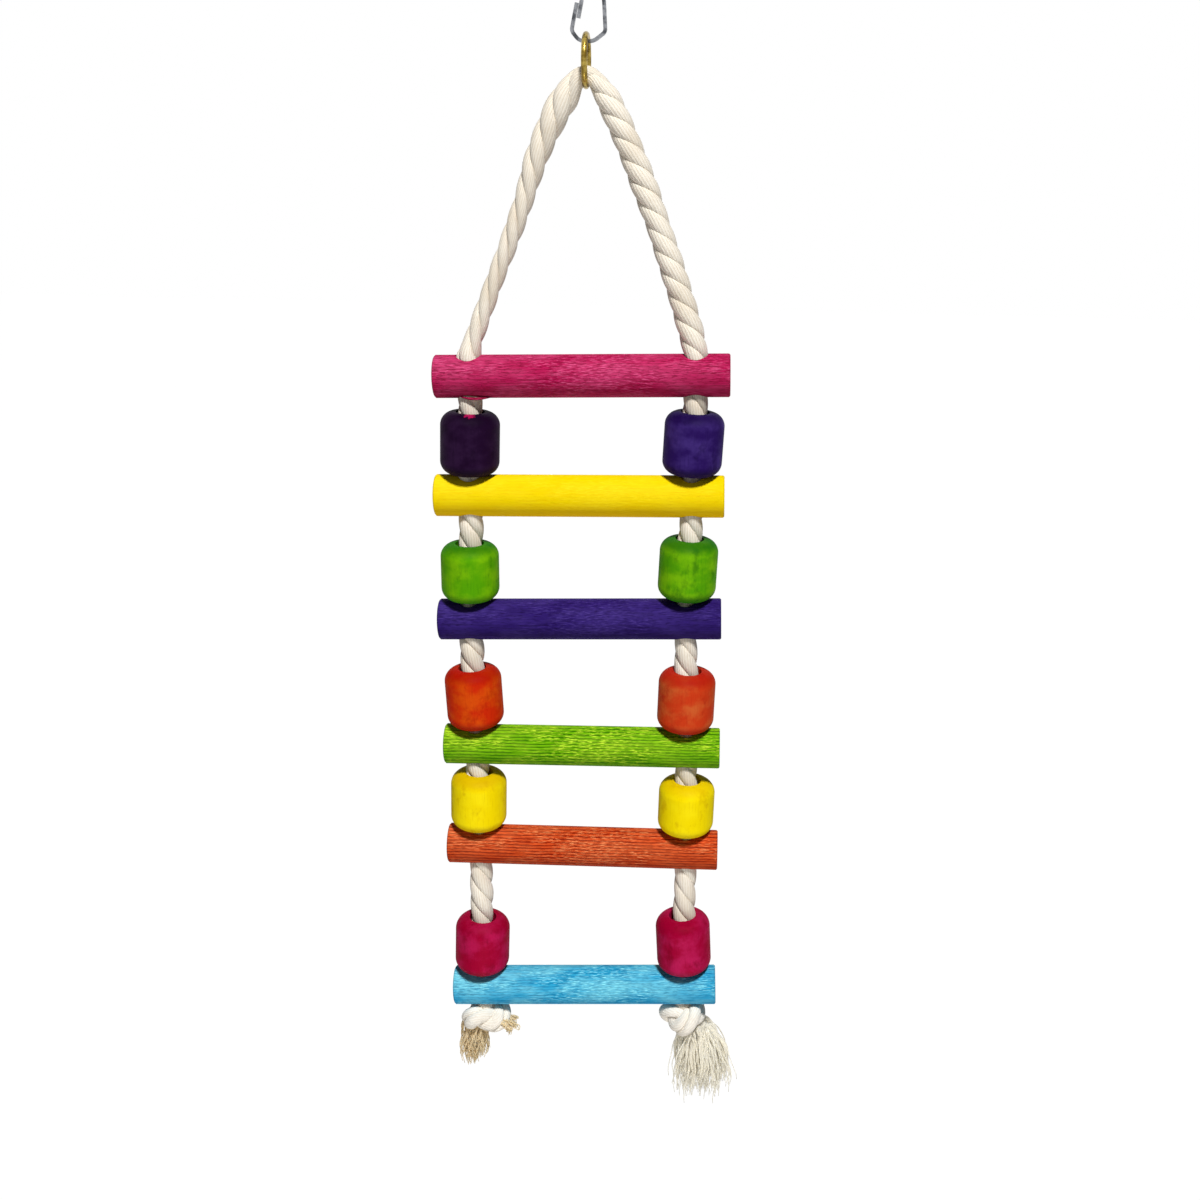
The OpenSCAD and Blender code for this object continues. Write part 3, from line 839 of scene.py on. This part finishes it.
route_soft = smooth(route, 2)
heading = unit(np.gradient(route_soft, axis=0))
flat_across = np.stack([heading[:, 1], np.zeros(len(heading)), -heading[:, 0]], axis=1)
centre = np.stack([route_soft[:, 0], np.zeros(len(route)), route_soft[:, 1]], axis=1)
toward_front = np.tile((0.0, 1.0, 0.0), (len(route), 1))
apex = np.array((RING_X, WIRE_Z + BEND_R))
near_ring = np.clip(1 - (np.linalg.norm(route_soft - apex, axis=1) - PINCH_START) / PINCH_RUN, 0, 1)
flat = 1 - (1 - PINCHED / 2 / ROPE_R) * near_ring
above_rungs = route_soft[:, 1] - in_hole(0, 0, RUNG_R)[1]
on_right_leg = (route_soft[:, 0] > RING_X) & (above_rungs > 0)
turns = np.cumsum(STEP / np.where(on_right_leg, RIGHT_LEG_LAY, LAY))
on_left_leg = (route_soft[:, 0] < RING_X) & (above_rungs > 0)
thin = np.where(on_left_leg, np.interp(above_rungs, LEG_HEIGHTS, LEFT_LEG_THIN), 1.0)
centre[:, 0] += np.where(on_left_leg, np.interp(above_rungs, LEG_HEIGHTS, LEFT_LEG_BOW), 0)
for rung in range(1, 6):
    for side in (0, 1):
        if (rung, side) != OPEN_MOUTH:
            mouth = np.linalg.norm(route_soft - in_hole(rung, side, RUNG_R), axis=1)
            thin = thin - MOUTH_THIN * np.clip(MOUTH_FULL - mouth / MOUTH_REACH, 0, 1)
radius = ROPE_R * smooth(thin, 1)
opened = 1 + 0.05 * np.sin(along_route / 9) + 0.04 * np.sin(along_route / 4.7 + 1)
rounder = on_left_leg & (above_rungs > ROUND_FROM) & (above_rungs < ROUND_TO)
wide = STRAND_WIDE - ROUND_LESS * smooth(np.where(rounder, 1.0, 0.0), 5)
points, faces, uv = lay_strands(centre, flat_across, toward_front, along_route, radius, flat, turns,
                                opened, wide)
rope = new_piece("laid_rope", points, faces, CREAM_ROPE, "ladder", uv)
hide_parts("rope")
print("rope:", len(faces), "faces in three strands")

# %% [markdown]
# ## Stopper knots
# Each end is tied in an overhand knot under the bottom rung, so that nothing slides off. An overhand
# knot pulled tight crosses itself three times round its core. The same three strands are laid along
# that knotted line, with a longer lay, because tying opens a soft rope up. Two directions that are
# carried along the line without twisting tell the strands which way is out.

# %% Tie the two knots
KNOT_LAY = 46
KNOT_STEPS = 260
KNOT_GAP = 0.25
SOFT_KNOT_R = 4.7


def knot_line(side):
    """The knot's closed centre line, in millimetres from its middle."""
    coil = (KNOT_W[side] / 2 - KNOT_ROPE_R) / 3
    climb = KNOT_H[side] / 2 - KNOT_ROPE_R
    t = np.linspace(0, 2 * np.pi, KNOT_STEPS)
    return np.stack([coil * (np.sin(t) + 2 * np.sin(2 * t)), coil * (np.cos(t) - 2 * np.cos(2 * t)),
                     -climb * np.sin(3 * t)], axis=1)


def frames_along(line):
    """Two directions square to a line at each point, carried along it without twisting."""
    ahead_ = unit(np.gradient(line, axis=0))
    first = np.cross(ahead_[0], (0.0, 0.0, 1.0))
    sides = [first / np.linalg.norm(first)]
    for direction in ahead_[1:]:
        carried = sides[-1] - direction * np.dot(sides[-1], direction)
        sides.append(carried / np.linalg.norm(carried))
    sides = np.array(sides)
    return sides, np.cross(ahead_, sides)


def turn_about_z(points, angle, tilt):
    """Points turned about the rope, then tilted with the bottom rung."""
    spin = Matrix.Rotation(-math.radians(tilt), 3, "Y") @ Matrix.Rotation(math.radians(angle), 3, "Z")
    return np.array(points) @ np.array(spin).T


knot_foot = []
for side, name in enumerate(("left_knot", "right_knot")):
    foot = in_hole(5, side, -RUNG_R - KNOT_GAP - KNOT_H[side] / 2)
    line = turn_about_z(knot_line(side), KNOT_TURN[side], RUNG_TILT[5]) + (foot[0], 0, foot[1])
    run = np.concatenate([[0], np.cumsum(np.linalg.norm(np.diff(line, axis=0), axis=1))])
    across, through = frames_along(line)
    points, faces, uv = lay_strands(line, across, through, run, SOFT_KNOT_R, np.ones(len(line)),
                                    run / KNOT_LAY)
    knot = new_piece(name, points, faces, SOFT_KNOT, "ladder", uv)
    knot_foot.append(foot)
    print(name, "tied at", [round(c, 1) for c in foot], "from", round(run[-1]), "mm of rope")

# %% [markdown]
# ## Frayed ends
# Below the knots the rope is untwisted into its yarns. Loose cotton clumps: yarns start together
# under the knot, spread as a brush, and end in pointed locks of uneven length. So each lock gets a
# direction and a length: one thick pointed core, and thin wavy yarns that keep close to it.

# %% Yarns and combs
YARN_R = 0.33
YARN_SIDES = 6
CORE_R = 1.2
YARN_STEPS = 14
GOLDEN_TURN = 2.39996


def yarn(start, end, bulge, wave, phase, radius, taper):
    """One yarn as rings of points: a bent line with a small wave, thinner toward its tip."""
    t = np.linspace(0, 1, YARN_STEPS)[:, None]
    middle = (start + end) / 2 + bulge
    line = start * (1 - t) ** 2 + middle * 2 * t * (1 - t) + end * t ** 2
    line[:, 0] += wave * t[:, 0] * np.sin(11 * t[:, 0] + phase)
    line[:, 1] += wave * t[:, 0] * np.cos(10 * t[:, 0] + 2 * phase)
    across, through = frames_along(line)
    angles = np.linspace(0, 2 * np.pi, YARN_SIDES, endpoint=False)
    thick = radius * (1 - taper * t[:, 0] ** 2)
    return line[:, None] + thick[:, None, None] * (across[:, None] * np.cos(angles)[None, :, None]
                                                   + through[:, None] * np.sin(angles)[None, :, None])


def comb(name, root, root_r, locks, per_lock, material, seed):
    """A brush of yarns in locks. Each lock is (end from the root, how far its yarns stray)."""
    rng = random.Random(seed)
    points, faces, uv = [], [], []
    for tip, stray in locks:
        tip = np.array(tip, float)
        spot = np.array((tip[0] * 0.20, tip[1] * 0.30, 0))
        for k in range(per_lock):
            core = k == 0
            jitter = np.array([rng.gauss(0, 1) for _ in range(3)]) * (0.2 if core else 1.0)
            start = np.array(root) + spot + np.array([rng.gauss(0, 1), rng.gauss(0, 1), 0.6]) * root_r * 0.38
            end = np.array(root) + tip * (1 + 0.07 * rng.gauss(0, 1)) + jitter * (stray, stray, stray * 0.6)
            bulge = np.array((tip[0] * 0.42, tip[1] * 0.45, -tip[2] * 0.20)) + jitter * 0.8
            rings = yarn(start, end, bulge, 0.5 + 0.6 * rng.random(), rng.random() * 6.28,
                         CORE_R if core else YARN_R, 0.92 if core else 0.55)
            along = np.linspace(0, abs(tip[2]) + 6, YARN_STEPS) * MM
            new_faces, new_uv = skin(rings, along, first=len(points))
            faces += new_faces
            uv += new_uv
            points += list(rings.reshape(-1, 3) * MM)
    piece = new_piece(name, points, faces, material, "ladder", uv)
    print(name, len(locks) * per_lock, "yarns,", len(faces), "faces")


def brush_locks(count, length, width, depth, lean, seed, uneven=0.16):
    """Lock ends spread over an oval below the root, a little shorter toward its rim."""
    rng = random.Random(seed)
    locks = []
    for k in range(count):
        spread = math.sqrt((k + 0.5) / count)
        angle = k * GOLDEN_TURN
        x = spread * math.cos(angle) * width / 2 + lean
        y = spread * math.sin(angle) * depth / 2
        z = -length * (1 - uneven * rng.random() - 0.18 * spread * spread)
        locks.append(((x, y, z), 0.7 + 0.5 * spread))
    return locks


print("a yarn is", 2 * YARN_R, "mm thick")

# %% Comb the frayed ends
right_root = (knot_foot[1][0] + 5.0, 0, knot_foot[1][1] - 6.5)
right_locks = brush_locks(38, 36, 27, 19, 3.5, seed=4, uneven=0.24)
comb("right_frayed_end", right_root, 5.0, right_locks, 10, CREAM_YARN, seed=11)
left_root = (knot_foot[0][0] - 2.0, 0, knot_foot[0][1] - 2.5)
left_locks = brush_locks(24, 24, 12, 10, -4.0, seed=8, uneven=0.36)
comb("left_frayed_end", left_root, 5.0, left_locks, 10, TAN_YARN, seed=12)
wisp_root = (knot_foot[0][0] + 1.0, -3.0, knot_foot[0][1] + 0.5)
wisp_locks = [((13.0, -1.5, -5.0), 0.8), ((12.0, 1.0, -2.5), 0.8),
              ((10.0, -2.0, -7.5), 0.9), ((11.5, -3.0, -4.0), 0.9)]
comb("left_wisp", wisp_root, 3.0, wisp_locks, 12, TAN_YARN, seed=13)

# %% [markdown]
# ## A splinter at one hole
# A drill that leaves the wood tears a thin lip out of it. One such splinter runs across the rope,
# under the left hole of the top rung. It is a bent pointed sliver in its own rung's dye, so it shares
# that rung's material.

# %% A splinter
SPLIT_RUNG = "rung_1_magenta"
SLIVER_ENDS = np.array(((-52.0, -4.4, -163.0), (-37.0, -3.6, -163.0)))
SLIVER_PULL = np.array((-46.0, -7.4, -164.9))
SLIVER_R = 0.8


def sliver(line, radius):
    """Rings of points round a bent line that is thick in its middle and pointed at both ends."""
    t = np.linspace(0, 1, len(line))[:, None]
    across, through = frames_along(line)
    angles = np.linspace(0, 2 * np.pi, 8, endpoint=False)
    thick = radius * (0.15 + np.sin(np.pi * t))[:, :, None]
    return line[:, None] + thick * (across[:, None] * np.cos(angles)[None, :, None]
                                    + 0.6 * through[:, None] * np.sin(angles)[None, :, None])


t = np.linspace(0, 1, 16)[:, None]
line = SLIVER_ENDS[0] * (1 - t) ** 2 + SLIVER_PULL * 2 * t * (1 - t) + SLIVER_ENDS[1] * t ** 2
rings = sliver(line, SLIVER_R)
faces, uv = skin(rings, t[:, 0] * MM)
points = list(rings.reshape(-1, 3) * MM)
rung_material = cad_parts[SPLIT_RUNG].material_slots[0].material
splinter = new_piece("splinter_" + SPLIT_RUNG, points, faces, rung_material, "ladder", uv)
print("splinter", round(float(np.linalg.norm(SLIVER_ENDS[1] - SLIVER_ENDS[0])), 1), "mm long on", SPLIT_RUNG)
